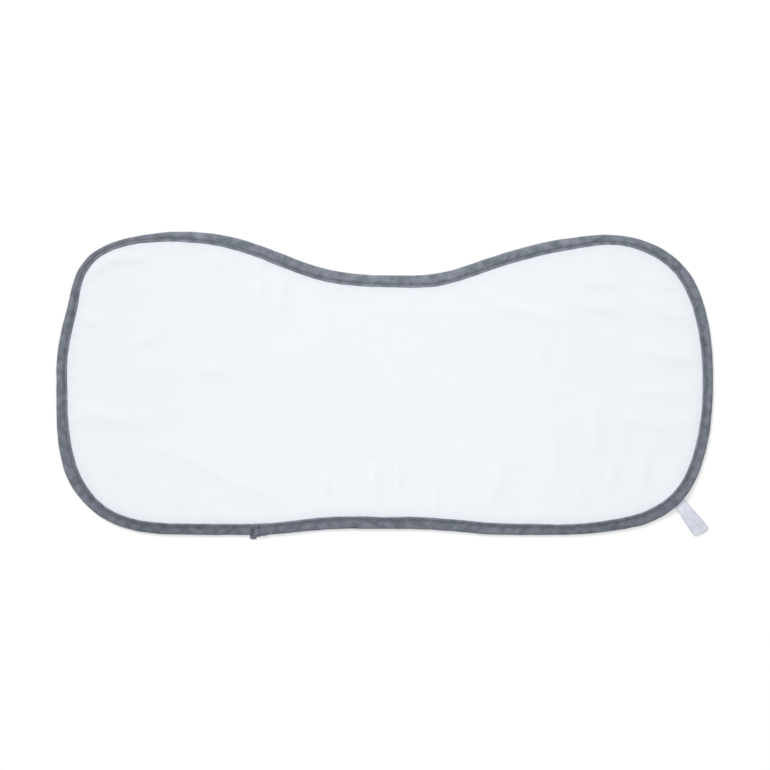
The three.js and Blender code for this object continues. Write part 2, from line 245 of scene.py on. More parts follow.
class ClothEdge:
    # the outer edge of the binding, with its width and lift all the way round
    def __init__(self):
        panel, binding = mergedCopy("muslin_panel"), mergedCopy("edge_binding")
        lip = smoothLoop(clockwise(wallTopLoops(panel)[0]), edgeSetup["stations"])
        inner = min(wallTopLoops(binding), key=lambda loop: np.ptp(loop[:, 0]))
        inner = smoothLoop(clockwise(inner), edgeSetup["stations"])
        panelLow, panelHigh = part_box("muslin_panel")
        bindingLow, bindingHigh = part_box("edge_binding")
        self.wrap = ((bindingHigh.x - bindingLow.x) - (panelHigh.x - panelLow.x)) / 2
        self.points = lip[:, :2] - inwardOf(lip[:, :2]) * self.wrap
        self.inward = inwardOf(self.points)
        self.lift = lip[:, 2] - lip[:, 2].min()
        tree = treeOf(inner)
        widths = np.array([tree.find((x, y, 0))[2] for x, y in self.points])
        below = ease(-self.points[:, 1], *edgeSetup["drawnInSpan"])
        self.width = evened(widths, edgeSetup["eveningTimes"]) - edgeSetup["drawnIn"] * below
        for place, reach, more in widthNudges.values():
            self.width += more * mm * mound(gapsTo(self.points / mm, place), 0, reach)
        steps = np.roll(self.points, -1, axis=0) - self.points
        lengths = np.hypot(steps[:, 0], steps[:, 1])
        self.length = float(lengths.sum())
        self.along = np.concatenate([[0], np.cumsum(lengths)[:-1]])
        self.cornerAlong = self.alongNear(self.lowestPlace(binding))
        panel.free()
        binding.free()

    def lowestPlace(self, made):
        # the middle of the turned-under corner, which reaches lowest of all
        lowest = min(corner.co.y for corner in made.verts)
        near = [corner.co for corner in made.verts if corner.co.y < lowest + edgeSetup["cornerDepth"]]
        places = [corner.x for corner in near]
        return (min(places) + max(places)) / 2, lowest

    def alongNear(self, place):
        return float(self.along[gapsTo(self.points, place).argmin()])

    def at(self, along):
        # point, inward direction, width and lift at any places along the edge
        along = np.mod(along, self.length)

        def read(values):
            return np.interp(along, self.along, values, period=self.length)

        point = np.stack([read(self.points[:, 0]), read(self.points[:, 1])], axis=-1)
        inward = np.stack([read(self.inward[:, 0]), read(self.inward[:, 1])], axis=-1)
        return point, inward, read(self.width), read(self.lift)

    def waves(self, along, longest, shortest, count, seed):
        # an uneven ripple, near to -1 to 1, that closes on itself round the edge
        rng = np.random.default_rng(seed)
        lengths = np.geomspace(longest, shortest, count) * rng.uniform(0.9, 1.1, count)
        total = np.zeros_like(along)
        for length, start in zip(lengths, rng.uniform(0, 2 * math.pi, count)):
            turns = max(round(self.length / length), 1)
            total = total + np.sin(2 * math.pi * turns * along / self.length + start)
        return total / math.sqrt(count)


clothEdge = ClothEdge()
print(f"edge read: {clothEdge.length:.3f} m round, "
      f"binding {clothEdge.width.min() / mm:.1f} to {clothEdge.width.max() / mm:.1f} mm wide")


# Small tools for meshes and materials

def makePiece(name, points, faces, uv=None):
    mesh = bpy.data.meshes.new(name)
    mesh.from_pydata([tuple(p) for p in points], [], [tuple(f) for f in faces])
    if uv is not None:
        layer = mesh.uv_layers.new(name="alongEdge")
        layer.data.foreach_set("uv", np.asarray(uv, dtype=np.float32).ravel())
    shaped = bmesh.new()
    shaped.from_mesh(mesh)
    bmesh.ops.recalc_face_normals(shaped, faces=shaped.faces)
    shaped.to_mesh(mesh)
    shaped.free()
    mesh.shade_smooth()
    piece = bpy.data.objects.new(name, mesh)
    bpy.context.scene.collection.objects.link(piece)
    return piece


def cornersOf(piece):
    return np.array([tuple(vertex.co) for vertex in piece.data.vertices])


def paintAttribute(piece, name, values):
    layer = piece.data.attributes.new(name, "FLOAT", "POINT")
    layer.data.foreach_set("value", values.astype(np.float32))


def selectOnly(piece):
    bpy.ops.object.select_all(action="DESELECT")
    piece.select_set(True)
    bpy.context.view_layer.objects.active = piece


def newGroup(name, inputs, outputs):
    tree = bpy.data.node_groups.new(name, "ShaderNodeTree")
    for label, kind, value in inputs:
        socket = tree.interface.new_socket(name=label, in_out="INPUT", socket_type=kind)
        if value is not None:
            socket.default_value = value
    for label, kind in outputs:
        tree.interface.new_socket(name=label, in_out="OUTPUT", socket_type=kind)
    return tree, tree.nodes.new("NodeGroupInput"), tree.nodes.new("NodeGroupOutput")


def feed(tree, socket, value):
    # a number, colour or vector is set on the socket, and an output is joined to it
    if isinstance(value, bpy.types.NodeSocket):
        tree.links.new(value, socket)
    elif socket.type == "RGBA":
        socket.default_value = (*value, 1)
    else:
        socket.default_value = value


def addNode(tree, kind, values, **settings):
    made = tree.nodes.new("ShaderNode" + kind)
    for label, setting in settings.items():
        setattr(made, label, setting)
    for label, value in values.items():
        feed(tree, made.inputs[label], value)
    return made.outputs


def mathNode(tree, operation, *values):
    return addNode(tree, "Math", dict(enumerate(values)), operation=operation)[0]


def timesNode(tree, value, factor):
    return mathNode(tree, "MULTIPLY", value, factor)


def attributeNode(tree, name):
    return addNode(tree, "Attribute", {}, attribute_name=name)["Fac"]


def noiseNode(tree, vector, scale, detail=2.0, roughness=0.5):
    values = {"Vector": vector, "Scale": scale, "Detail": detail, "Roughness": roughness}
    return addNode(tree, "TexNoise", values)["Fac"]


def spanNode(tree, value, low, high, newLow, newHigh):
    # stretches low to high over newLow to newHigh, and holds what lies past them at the ends
    values = {"Value": value, "From Min": low, "From Max": high, "To Min": newLow, "To Max": newHigh}
    return addNode(tree, "MapRange", values)["Result"]


def mixNode(tree, share, one, other):
    # its seventh and eighth inputs and its third output are the ones for colours
    return addNode(tree, "Mix", {"Factor": share, 6: one, 7: other}, data_type="RGBA")[2]


def layColours(tree, colour, look, layers):
    # lays each colour of the look over what is there, by its mask and that mask's span
    for mask, span, name in layers:
        colour = mixNode(tree, spanNode(tree, mask, *span), colour, look[name])
    return colour


def scaledVector(tree, vector, amount):
    return addNode(tree, "VectorMath", {0: vector, "Scale": amount}, operation="SCALE")["Vector"]


def turnedVector(tree, vector, turn, scale):
    return addNode(tree, "Mapping", {"Vector": vector, "Rotation": (0, 0, turn), "Scale": scale})["Vector"]


def bumpNode(tree, height, distance, strength, **under):
    values = {"Height": height, "Distance": distance, "Strength": strength, **under}
    return addNode(tree, "Bump", values)["Normal"]


weaveSetup = {
    "driftScale": 240.0,   # how quickly the threads wander
    "pinholeBelow": 0.35,  # the weave's height under which a gap shows
    "streakScale": 900.0,
    "fuzzScale": 5200.0,
}


def plainWeaveGroup():
    # over and under threads of a plain weave: their height, and the pinholes between them
    tree, start, end = newGroup(
        "plainWeave",
        [("Vector", "NodeSocketVector", None), ("Threads", "NodeSocketFloat", 1600.0),
         ("Waver", "NodeSocketFloat", 0.35)],
        [("Height", "NodeSocketFloat"), ("Pinholes", "NodeSocketFloat")],
    )
    scaled = scaledVector(tree, start.outputs["Vector"], start.outputs["Threads"])
    spots = addNode(tree, "SeparateXYZ", {0: scaled})
    drift = noiseNode(tree, start.outputs["Vector"], weaveSetup["driftScale"], 1.0)
    drift = timesNode(tree, mathNode(tree, "SUBTRACT", drift, 0.5), start.outputs["Waver"])
    warp = mathNode(tree, "ADD", spots["X"], drift)
    weft = mathNode(tree, "ADD", spots["Y"], drift)
    ridgeHeights = []
    for across, lengthwise, shift in ((warp, weft, 0.0), (weft, warp, 1.0)):
        ridge = mathNode(tree, "ABSOLUTE", mathNode(tree, "SINE", timesNode(tree, across, math.pi)))
        step = mathNode(tree, "ADD", mathNode(tree, "FLOOR", across), shift)
        phase = mathNode(tree, "ADD", mathNode(tree, "SUBTRACT", lengthwise, 0.5), step)
        wave = mathNode(tree, "COSINE", timesNode(tree, phase, math.pi))
        over = mathNode(tree, "MULTIPLY_ADD", wave, 0.5, 0.5)
        ridgeHeights.append(timesNode(tree, ridge, over))
    height = mathNode(tree, "MAXIMUM", *ridgeHeights)
    feed(tree, end.inputs["Height"], height)
    feed(tree, end.inputs["Pinholes"], spanNode(tree, height, 0.0, weaveSetup["pinholeBelow"], 1.0, 0.0))
    return tree


def slubGroup():
    # thick and thin places in the yarn, as long streaks, and a fine fuzz of fibre
    tree, start, end = newGroup(
        "yarnSlub",
        [("Vector", "NodeSocketVector", None), ("AlongScale", "NodeSocketFloat", 0.06)],
        [("Slub", "NodeSocketFloat"), ("Fuzz", "NodeSocketFloat")],
    )
    spots = addNode(tree, "SeparateXYZ", {0: start.outputs["Vector"]})
    streaks = []
    for first, second in (("X", "Y"), ("Y", "X")):
        drawnOut = timesNode(tree, spots[first], start.outputs["AlongScale"])
        spot = addNode(tree, "CombineXYZ", {"X": drawnOut, "Y": spots[second], "Z": spots["Z"]})["Vector"]
        streaks.append(noiseNode(tree, spot, weaveSetup["streakScale"]))
    feed(tree, end.inputs["Slub"], timesNode(tree, mathNode(tree, "ADD", *streaks), 0.5))
    fuzz = noiseNode(tree, start.outputs["Vector"], weaveSetup["fuzzScale"], 2.0, 0.7)
    feed(tree, end.inputs["Fuzz"], fuzz)
    return tree


weaveGroup = plainWeaveGroup()
yarnGroup = slubGroup()


def placeGroup(tree, group, vector, **values):
    return addNode(tree, "Group", {"Vector": vector, **values}, node_tree=group)


def startMaterial(name, look):
    material = bpy.data.materials.new(name)
    material.use_nodes = True
    tree = material.node_tree
    shader = tree.nodes["Principled BSDF"].inputs
    shader["Roughness"].default_value = look["roughness"]
    shader["Sheen Weight"].default_value = look["sheen"]
    shader["Sheen Roughness"].default_value = 0.5
    return material, tree, shader, addNode(tree, "TexCoord", {})


# The muslin panel

panelSetup = {
    "gridStep": 2.05 * mm,
    # millimetres in from the binding's inner edge
    "ringsPastBinding": (-2.6, -0.6, 0.05, 0.7, 1.6, 2.7, 4.2, 6.1, 8.4),
    "gridPastBinding": 10.2 * mm,
    "wellInside": 99.0,       # mm past the binding that stand for all the grid
    "sampledPastBinding": 10.0 * mm,  # where the node's surface has its full height
    "topInBinding": 1.6 * mm,
    "topOverLip": 2.25 * mm,
    "undersideOverLip": 1.0 * mm,
    "lipSpan": (-1.1, 0.05),  # mm past the binding where the top grows from one to the other
    "riseStarts": 0.3,        # mm past the binding
    "riseLength": 5.5,        # mm in which the top comes to its full height
    "riseShape": 0.85,
    "fallSpan": (0.4, 4.0),   # mm past the binding where the underside comes down to the table
    "raysFrom": 50 * mm,      # over and under the table, to find the node's surface
    "smoothing": 30,          # times
    "smoothingShare": 0.6,    # how far a point moves to its neighbours each time
    "puckerHeight": 0.17 * mm,
    "puckerReach": 8.0,       # mm
    "puckerSpan": (0.4, 2.4),  # mm past the binding where the gathers begin
    "gatherWaves": (26 * mm, 7 * mm, 9),  # the longest, the shortest and how many
    "strengthWaves": (260 * mm, 90 * mm, 3),  # by which the gathers grow stronger and weaker
    "strength": 0.75,
    "strengthVaries": 0.35,
    "bindingShadeReach": 3.2,          # mm past the binding over which the cloth has painted shade from the binding
    "swellHeight": 0.28 * mm,
    "swellAcross": 62 * mm,
    "swellSkew": (0, 1.35),   # how far it is slanted and stretched
    "crinkleHeight": 0.035 * mm,
    "crinkleAcross": 9 * mm,
    "crinkleSkew": (0.4, 1.2),
    "crinkleLevel": 3.0,      # the layer of the noise that it reads
    "cornersApart": 1e-7,     # below this, two places are one
    "leastThickness": 0.5 * mm,
    "endShadeStarts": 40 * mm,    # from the middle, where painted shade starts to darken the cloth towards its ends
    "endShadeEnds": 240 * mm,
}

# The creases that the photo shows: half width, height and where the shaded side runs, in millimetres.
creases = {
    "shoulder": (4.5, 0.54, [(81, 74), (93, 62), (113, 58), (129, 55), (148, 46), (151, 27)]),
    "lobe, across": (4.2, 0.58, [(143, 69), (159, 64), (172, 61), (189, 58), (197, 55)]),
    "lobe, upper": (4.2, 0.62, [(158, 87), (171, 80), (189, 78), (200, 70)]),
    "corner, across": (5.2, 0.78, [(208, 68), (221, 61), (229, 56), (245, 49)]),
    "corner, top": (4.0, 0.55, [(214, 87), (224, 79), (232, 76)]),
    "side, upper": (5.8, 0.7, [(206, 29), (218, 25), (230, 20), (251, 21)]),
    "lobe, short": (3.6, 0.3, [(179, 38), (192, 38)]),
    "lobe, middle": (3.4, 0.32, [(127, 29), (128, 21), (130, 13)]),
    "side, middle": (4.0, 0.42, [(203, -7), (214, -8), (248, -8)]),
    "side, lower": (4.2, 0.42, [(193, -30), (209, -32), (222, -35), (243, -32)]),
    "skirt, first": (4.4, 0.44, [(134, -25), (137, -44), (138, -60), (139, -83)]),
    "skirt, faint": (3.4, 0.3, [(117, -18), (117, -34)]),
    "skirt, second": (4.0, 0.34, [(172, -7), (173, -32), (174, -57)]),
    "skirt, slanting": (3.6, 0.5, [(189, -63), (185, -75), (181, -84)]),
    "skirt, third": (3.4, 0.36, [(193, -37), (194, -60)]),
    "skirt, fourth": (4.0, 0.42, [(216, -50), (211, -68), (210, -89)]),
    "skirt, low": (4.0, 0.5, [(156, -84), (163, -100)]),
    "middle skirt": (5.6, 0.54, [(95, -63), (93, -84), (85, -94)]),
    "left side": (4.8, 0.42, [(-247, -26), (-231, -26), (-213, -31), (-202, -33), (-189, -31)]),
    "left, long": (4.6, 0.44, [(-186, -55), (-159, -60), (-138, -70), (-121, -81), (-96, -87), (-82, -98)]),
    "left, small": (3.6, 0.42, [(-221, -58), (-217, -65), (-214, -75)]),
    "left, short": (4.0, 0.48, [(-181, -83), (-170, -92), (-162, -100)]),
    "left, low": (3.4, 0.36, [(-139, -89), (-140, -103)]),
    "upper left corner": (4.0, 0.92, [(-238, 84), (-230, 92), (-218, 99), (-205, 101), (-191, 100)]),
    "left lobe, top": (4.5, 0.6, [(-133, 106), (-129, 93)]),
    "neck, first": (3.2, 0.4, [(-98, 82), (-100, 69)]),
    "neck, second": (3.6, 0.54, [(-84, 85), (-81, 76), (-84, 56)]),
    "dimple, upper": (4.5, 0.5, [(-197, 34), (-184, 34)]),
    "dimple, middle": (5.0, 0.54, [(-145, 11), (-126, 9)]),
    "left edge, upper": (4.0, 0.46, [(-241, 51), (-225, 48)]),
    "left edge, middle": (4.0, 0.42, [(-238, 27), (-234, 5)]),
    "bottom, one": (2.8, 0.6, [(-46, -72), (-44, -92)]),
    "bottom, two": (3.2, 0.8, [(-8, -68), (-4, -92)]),
    "bottom, three": (2.6, 0.56, [(13, -66), (14, -86)]),
    "bottom, four": (3.0, 0.66, [(41, -84), (45, -100)]),
    "middle, left": (2.3, 0.22, [(6, -38), (6, -70)]),
    "middle, right": (2.3, 0.22, [(23, -38), (23, -72)]),
}
creaseSetup = {
    "crestTowardsLight": (-1.9, 2.3),  # mm from a crease's shaded side to its crest
    "waver": 0.9,          # mm
    "waverAcross": 14,     # mm
    "waverLevel": 7.0,     # the layer of the noise that it reads
    "endsLeft": 0.35,      # share of a crease's height that is left at its ends
    "endShape": 0.7,
    "reach": 3,            # half widths from its line where a crease has run out
    "pathSteps": 8,        # steps between two of its points
}


def smoothPath(path):
    # a round open curve through the points
    spots = np.array([path[0], *path, path[-1]], float)
    t = (np.arange(creaseSetup["pathSteps"]) / creaseSetup["pathSteps"])[:, None]
    legs = [roundCurve(*four, t) for four in zip(spots, spots[1:], spots[2:], spots[3:])]
    return np.vstack([*legs, spots[-1:]])


def creaseHeights(points):
    # how much the creases add at each point, points in metres
    setup = creaseSetup
    total = np.zeros(len(points))
    spots = points / mm
    wander = [noise.noise(Vector((x, y, setup["waverLevel"])) / setup["waverAcross"]) for x, y in spots]
    waver = np.array(wander) * setup["waver"]
    for half, height, path in creases.values():
        line = smoothPath(path) + setup["crestTowardsLight"]
        reach = setup["reach"] * half
        near = np.all((spots > line.min(axis=0) - reach) & (spots < line.max(axis=0) + reach), axis=1)
        best = np.full(near.sum(), np.inf)
        share = np.zeros(near.sum())
        for leg in range(len(line) - 1):
            span = line[leg + 1] - line[leg]
            along = np.clip((spots[near] - line[leg]) @ span / (span @ span), 0, 1)
            gap = gapsTo(spots[near] - along[:, None] * span, line[leg])
            share = np.where(gap < best, (leg + along) / (len(line) - 1), share)
            best = np.minimum(best, gap)
        grown = np.sin(math.pi * share) ** setup["endShape"]
        fade = setup["endsLeft"] + (1 - setup["endsLeft"]) * grown
        total[near] += height * mm * mound(best + waver[near], 0, half) * fade
    return total


def surfaceHeights(tree, points, fromAbove):
    # the node's own heights, and their median where a point misses it
    start, way = (panelSetup["raysFrom"], -1) if fromAbove else (-panelSetup["raysFrom"], 1)
    hits = [tree.ray_cast(Vector((x, y, start)), Vector((0, 0, way)))[0] for x, y in points]
    heights = np.array([np.nan if hit is None else hit.z for hit in hits])
    heights[np.isnan(heights)] = np.nanmedian(heights)
    return heights


def panelPoints():
    # rings that follow the edge, then a staggered grid within them
    picked = np.arange(0, edgeSetup["stations"], 2)
    rim, inward, width = clothEdge.points[picked], clothEdge.inward[picked], clothEdge.width[picked]
    rings = [rim + inward * clothEdge.wrap]
    past = [np.full(len(picked), clothEdge.wrap / mm) - width / mm]
    for beyond in panelSetup["ringsPastBinding"]:
        rings.append(rim + inward * (width + beyond * mm)[:, None])
        past.append(np.full(len(picked), beyond))
    tree = treeOf(rim)
    low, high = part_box("muslin_panel")
    step = panelSetup["gridStep"]
    rowStep = step * math.sqrt(3) / 2
    grid, gridNear = [], []
    for row, y in enumerate(np.arange(low.y, high.y, rowStep)):
        for x in np.arange(low.x + (row % 2) * step / 2, high.x, step):
            _, place, gap = tree.find((x, y, 0))
            inner = (np.array([x, y]) - rim[place]) @ inward[place] > 0
            if inner and gap > width[place] + panelSetup["gridPastBinding"]:
                grid.append((x, y))
                gridNear.append(place)
    points = np.vstack([*rings, np.array(grid)])
    pastBinding = np.concatenate([*past, np.full(len(grid), panelSetup["wellInside"])])
    nearest = np.concatenate([np.tile(np.arange(len(picked)), len(rings)), gridNear]).astype(int)
    return points, pastBinding, picked[nearest], len(picked)


def relaxed(heights, faces):
    # evens out the node's flat facets
    share = panelSetup["smoothingShare"]
    pairs = np.vstack([faces[:, [0, 1]], faces[:, [1, 2]], faces[:, [2, 0]]])
    pairs = np.vstack([pairs, pairs[:, ::-1]])
    count = np.bincount(pairs[:, 0], minlength=len(heights))
    for _ in range(panelSetup["smoothing"]):
        around = np.bincount(pairs[:, 0], weights=heights[pairs[:, 1]], minlength=len(heights)) / count
        heights = (1 - share) * heights + share * around
    return heights


def noiseAt(points, read, skew, level, across):
    # noise read at points that are slanted along x and stretched along y
    spots = [Vector((x + skew[0] * y, skew[1] * y, level)) / across for x, y in points]
    return np.array([read(spot) for spot in spots])


def swellNoise(spot):
    return noise.fractal(spot, 1.0, 2.0, 3)


def makePanel(setup):
    points, past, station, rimCount = panelPoints()
    ring = [(k, (k + 1) % rimCount) for k in range(rimCount)]
    insideRing = 1
    made = geometry.delaunay_2d_cdt([Vector(p) for p in points], ring, [], insideRing,
                                    setup["cornersApart"])
    order = np.array([source[0] for source in made[3]])
    faces = order[np.array(made[2])]

    # where a point lies over the lip, the body's height is read a little further in
    pushed = np.maximum(setup["sampledPastBinding"] / mm - past, 0) * mm
    sampled = points + clothEdge.inward[station] * pushed[:, None]
    node = mergedCopy("muslin_panel")
    tree = BVHTree.FromBMesh(node)
    top = relaxed(surfaceHeights(tree, sampled, True), faces)
    under = relaxed(surfaceHeights(tree, sampled, False), faces)
    node.free()

    lift = clothEdge.lift[station]
    risen = np.clip((past - setup["riseStarts"]) / setup["riseLength"], 0, 1)
    rise = np.sin(0.5 * math.pi * risen) ** setup["riseShape"]
    fall = ease(past, *setup["fallSpan"])
    along = clothEdge.along[station]
    gathers = clothEdge.waves(along, *setup["gatherWaves"], seed=11)
    swing = clothEdge.waves(along, *setup["strengthWaves"], seed=5)
    gathers = gathers * (setup["strength"] + setup["strengthVaries"] * swing) * setup["puckerHeight"]
    window = ease(past, *setup["puckerSpan"]) * np.exp(-np.maximum(past, 0) / setup["puckerReach"])
    swell = noiseAt(points, swellNoise, setup["swellSkew"], 0, setup["swellAcross"])
    crinkle = noiseAt(points, noise.noise, setup["crinkleSkew"], setup["crinkleLevel"],
                      setup["crinkleAcross"])
    body = top + creaseHeights(points) + swell * setup["swellHeight"] + crinkle * setup["crinkleHeight"]
    overLip = ease(past, *setup["lipSpan"])
    lipTop = setup["topInBinding"] + (setup["topOverLip"] - setup["topInBinding"]) * overLip + lift
    topZ = lipTop + (body - lipTop) * rise + gathers * window
    lipUnder = setup["undersideOverLip"] + lift
    underZ = lipUnder + (under - lipUnder) * fall
    underZ = np.minimum(np.maximum(underZ, 0), topZ - setup["leastThickness"])

    count = len(points)
    corners = np.vstack([np.column_stack([points, topZ]), np.column_stack([points, underZ])])
    wall = [(a, b, b + count, a + count) for a, b in ring]
    allFaces = [*faces.tolist(), *(faces[:, ::-1] + count).tolist(), *wall]
    piece = makePiece("muslinPanel", corners, allFaces)
    # painted shade: the cloth is darker, a little lilac, just inside the binding
    paintAttribute(piece, "shadeNearBinding", np.tile(np.exp(-np.maximum(past, 0) / setup["bindingShadeReach"]), 2))
    # painted shade: the cloth is darker towards its ends, where the overhead light falls off
    endShade = ease(np.abs(points[:, 0]), setup["endShadeStarts"], setup["endShadeEnds"])
    paintAttribute(piece, "shadeTowardsEnds", np.tile(endShade, 2))
    (x0, y0), (x1, y1), (x2, y2) = (points[faces[:, corner]].T for corner in range(3))
    flatArea = float(np.abs((x1 - x0) * (y2 - y0) - (y1 - y0) * (x2 - x0)).sum() / 2)
    return piece, flatArea


muslinLook = {
    "thread": (0.785, 0.819, 0.842),
    "pinhole": (0.728, 0.763, 0.794),
    "thick": (0.803, 0.836, 0.857),
    # painted shade, a little lilac, just inside the binding
    "shadeByTheBinding": (0.70, 0.722, 0.80),
    # painted shade towards the cloth's ends
    "shadeAtTheEnds": (0.757, 0.783, 0.811),
    "pinholeShare": 0.55,
    "endShadeShare": 0.36,
    "bindingShadeShare": 0.85,
    "roughness": 0.92,
    "sheen": 0.12,
    "threadsPerMetre": 1500.0,
    "threadWaver": 0.5,
    "streakAlong": 0.07,   # below 1, streaks are drawn out along the thread
    "fuzzShare": 0.3,      # of the fuzz in the weave's height
    "weaveDepth": 0.09 * mm,
    "weaveStrength": 0.6,
    "crinkleDepth": 0.25 * mm,
    "crinkleStrength": 0.5,
    "crinkleScale": 160.0,
    "crinkleTurn": 0.35,
}


def muslinMaterial(look):
    material, tree, shader, place = startMaterial("whiteMuslin", look)
    spot = place["Object"]
    weave = placeGroup(tree, weaveGroup, spot, Threads=look["threadsPerMetre"], Waver=look["threadWaver"])
    yarn = placeGroup(tree, yarnGroup, spot, AlongScale=look["streakAlong"])
    colour = layColours(tree, look["thread"], look, [(yarn["Slub"], (0.35, 0.65, 0.0, 1.0), "thick")])
    for mask, share, name in (
        (weave["Pinholes"], look["pinholeShare"], "pinhole"),
        # painted shade towards the cloth's ends
        (attributeNode(tree, "shadeTowardsEnds"), look["endShadeShare"], "shadeAtTheEnds"),
        # painted shade along the binding
        (attributeNode(tree, "shadeNearBinding"), look["bindingShadeShare"], "shadeByTheBinding"),
    ):
        colour = mixNode(tree, timesNode(tree, mask, share), colour, look[name])
    feed(tree, shader["Base Color"], colour)
    slanted = turnedVector(tree, spot, look["crinkleTurn"], (1, 0.55, 1))
    crinkle = noiseNode(tree, slanted, look["crinkleScale"], 3.0, 0.55)
    soft = bumpNode(tree, crinkle, look["crinkleDepth"], look["crinkleStrength"])
    height = mathNode(tree, "MULTIPLY_ADD", yarn["Fuzz"], look["fuzzShare"], weave["Height"])
    bump = bumpNode(tree, height, look["weaveDepth"], look["weaveStrength"], Normal=soft)
    feed(tree, shader["Normal"], bump)
    return material


muslinPanel, muslinArea = makePanel(panelSetup)
muslinPanel.data.materials.append(muslinMaterial(muslinLook))
print(f"muslin panel: {len(muslinPanel.data.vertices)} points, {muslinArea:.4f} square metres flat")


# The grey binding

bindingSetup = {
    "top": 2.6,            # mm over the table
    "fabric": 0.7,
    "slotEnds": 1.1,       # mm in from the outer edge
    "puff": 0.22,
    "puffShape": 0.7,
    "stitchLine": 2.6,     # mm in from the inner edge
    "grooveHalf": 0.55,
    "grooveDepth": 0.34,
    "faintStitch": 0.35,   # share of the stitching's mark that is left where the strip is narrow
    "narrow": 6.5,
    "broad": 9.0,
    "rippleHeight": 0.13,
    "rippleLeast": 0.35,   # share of a ripple that is left at the strip's edges
    "rippleReach": 0.62,
    "rippleWaves": (13 * mm, 4.2 * mm, 7),  # the longest, the shortest and how many
    "rippleSlant": 0.8,    # how far a ripple runs on along the edge for each millimetre inwards
    "outerWaver": 0.09,
    "outerWaves": (60 * mm, 16 * mm, 5),
    "innerWaver": 0.11,
    "innerWaves": (70 * mm, 12 * mm, 6),
    "foldAngles": (205, 180, 155, 130, 108),  # the round outer fold, from below to above
    "flatShares": (0.24, 0.4, 0.56, 0.72, 0.86),
    "grooveOffsets": (-0.75, -0.35, 0.0, 0.35, 0.75),
    # (inset from the inner edge, height from the top), or None for the upper face's own height
    "innerRim": ((-0.5, None), (-0.12, -0.12), (0.0, -0.38), (-0.1, -0.62)),
    "slotOpens": 0.5,      # mm in from the inner edge
    # (inset from the inner edge or from the stitching, height over the table)
    "innerUnderside": ((-0.1, 0.6), (0.0, 0.36), (-0.12, 0.1), (-0.6, 0.0)),
    "grooveUnderneath": ((0.35, 0.02), (0.0, 0.2), (-0.35, 0.02)),
}


def stitchMark(width):
    # how strongly the stitching draws the strip in, for its width in millimetres
    faint = bindingSetup["faintStitch"]
    return faint + (1 - faint) * ease(width, bindingSetup["narrow"], bindingSetup["broad"])


def ripplesAt(along):
    # the small puckers between the stitches
    return clothEdge.waves(along, *bindingSetup["rippleWaves"], seed=3)


def foldPlace(angle):
    # a direction round the outer fold, and the fold's inset and height there
    turn = math.radians(angle)
    half = bindingSetup["top"] / 2
    return math.cos(turn), math.sin(turn), half * (1 + math.cos(turn)), half * (1 + math.sin(turn))


def bindingTopHeight(inset, width, ripple):
    # height of the binding's upper face, all in millimetres
    setup = bindingSetup
    flat = width - setup["stitchLine"]
    puff = setup["puff"] * np.sin(math.pi * np.clip(inset / flat, 0, 1)) ** setup["puffShape"]
    groove = setup["grooveDepth"] * stitchMark(width) * mound(inset, flat, setup["grooveHalf"])
    held = np.clip(1 - np.abs(inset - flat * 0.5) / (flat * setup["rippleReach"]), 0, 1)
    return setup["top"] + puff - groove + setup["rippleHeight"] * ripple * (setup["rippleLeast"] + held)


def bindingSection(width):
    # (millimetres in from the edge, height or None for the upper face), once round the strip
    setup = bindingSetup
    top, half, slotEnds = setup["top"], setup["top"] / 2, setup["slotEnds"]
    flat = width - setup["stitchLine"]
    section = [foldPlace(angle)[2:] for angle in setup["foldAngles"]]
    section += [(flat * share, None) for share in setup["flatShares"]]
    section += [(flat + offset, None) for offset in setup["grooveOffsets"]]
    for offset, drop in setup["innerRim"]:
        section.append((width + offset, None if drop is None else top + drop))
    slotTop, slotBottom, slotOpens = top - setup["fabric"], setup["fabric"], width - setup["slotOpens"]
    section += [(slotOpens, slotTop), (width / 2, slotTop), (slotEnds, slotTop)]
    section += [(slotEnds, slotBottom), (width / 2, slotBottom), (slotOpens, slotBottom)]
    section += [(width + offset, height) for offset, height in setup["innerUnderside"]]
    section += [(flat + offset, height) for offset, height in setup["grooveUnderneath"]]
    section += [(width / 2, 0.0), (width / 4, 0.0), (half, 0.02)]
    full = np.ones_like(width)
    return [(inset * full, None if height is None else height * full) for inset, height in section]


def makeBinding(setup):
    along = clothEdge.along
    width = clothEdge.width / mm
    outer = setup["outerWaver"] * clothEdge.waves(along, *setup["outerWaves"], seed=21)
    inner = setup["innerWaver"] * clothEdge.waves(along, *setup["innerWaves"], seed=8)
    rows, insets = [], []
    for inset, height in bindingSection(width):
        if height is None:
            slanted = along + setup["rippleSlant"] * inset * mm
            height = bindingTopHeight(inset, width, ripplesAt(slanted))
        share = np.clip(inset / width, 0, 1)
        moved = (inset + outer * (1 - share) + inner * share) * mm
        spot = clothEdge.points + clothEdge.inward * moved[:, None]
        rows.append(np.column_stack([spot, height * mm + clothEdge.lift]))
        insets.append((inset, height))
    corners = np.stack(rows, axis=1)
    return sweptPiece("greyBinding", corners, along, insets, clothEdge.length)


def sweptPiece(name, corners, along, insets, closesAt=None):
    # joins sections of points into one skin; open ends are capped
    stations, ring, _ = corners.shape
    runs = stations if closesAt is not None else stations - 1
    girth = [0.0]
    for (d0, z0), (d1, z1) in zip(insets, insets[1:] + insets[:1]):
        girth.append(girth[-1] + float(np.mean(np.hypot(d1 - d0, z1 - z0))) * mm)
    faces, uv = [], []
    for s in range(runs):
        t = (s + 1) % stations
        u0 = along[s]
        u1 = closesAt if t == 0 else along[t]
        for j in range(ring):
            k = (j + 1) % ring
            faces.append((s * ring + j, s * ring + k, t * ring + k, t * ring + j))
            uv += [(u0, girth[j]), (u0, girth[j + 1]), (u1, girth[j + 1]), (u1, girth[j])]
    if closesAt is None:
        for end in (0, stations - 1):
            faces.append(tuple(end * ring + j for j in range(ring)))
            uv += [(along[end], girth[j]) for j in range(ring)]
    return makePiece(name, corners.reshape(-1, 3), faces, uv)


# The lap: one end of the strip is turned under and lies over the other, its corner sticking out.
# Places along the edge are in millimetres from the corner's middle, and grow to the left.

